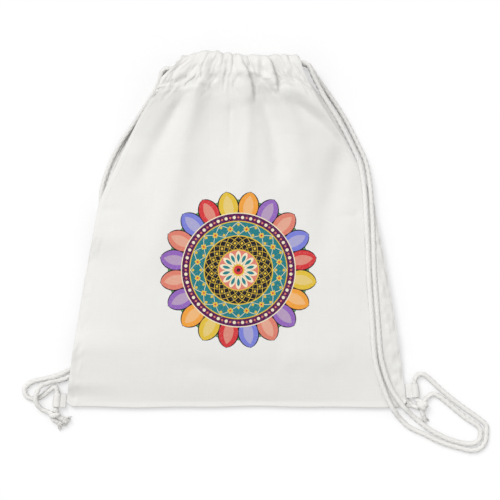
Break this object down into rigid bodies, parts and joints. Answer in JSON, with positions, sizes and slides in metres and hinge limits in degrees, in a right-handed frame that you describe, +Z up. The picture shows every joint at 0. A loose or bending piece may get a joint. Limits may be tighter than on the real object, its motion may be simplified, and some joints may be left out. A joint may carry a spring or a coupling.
{
  "type": "drawstring bag",
  "caption": "Flat cotton drawstring bag with a gathered double channel, paired cords through corner tabs and a round print, lying on its back.",
  "frame": {"origin": "on the face that the bag rests on, under the middle of its width", "axes": "+X across the bag to the right seen from the front, +Y from the bottom seam to the gathered mouth, +Z up out of the printed front"},
  "size_m": [0.4661, 0.3966, 0.0294],
  "materials": {
    "canvas": "plain woven cotton canvas",
    "cord": "braided cotton cord",
    "print": "matte printed ink"
  },
  "bodies": {
    "bag": {"front_panel": "canvas", "back_panel": "canvas", "print_film": "print", "right_cord_in_channels": "cord", "left_cord_in_channels": "cord", "right_cord_front_strand": "cord", "right_cord_back_strand": "cord", "right_cord_front_return": "cord", "right_cord_back_return": "cord", "left_cord_front_strand": "cord", "left_cord_back_strand": "cord", "left_cord_front_return": "cord", "left_cord_back_return": "cord"},
    "right_tab": {"right_tab": "canvas", "right_knot": "cord"},
    "left_tab": {"left_tab": "canvas", "left_knot": "cord"}
  },
  "joints": [
    {"name": "right_tab_seam", "type": "hinge", "parent": "bag", "child": "right_tab", "pos_m": [0.16953, -0.1615, 0.004], "axis": [0.1064, -0.9943, 0], "range_deg": [0, 60], "deforming": ["right_cord_front_return", "right_cord_back_return"]},
    {"name": "left_tab_seam", "type": "hinge", "parent": "bag", "child": "left_tab", "pos_m": [-0.17046, -0.171, 0.004], "axis": [0.0851, 0.9964, 0], "range_deg": [0, 60], "deforming": ["left_cord_front_return", "left_cord_back_return"]}
  ]
}
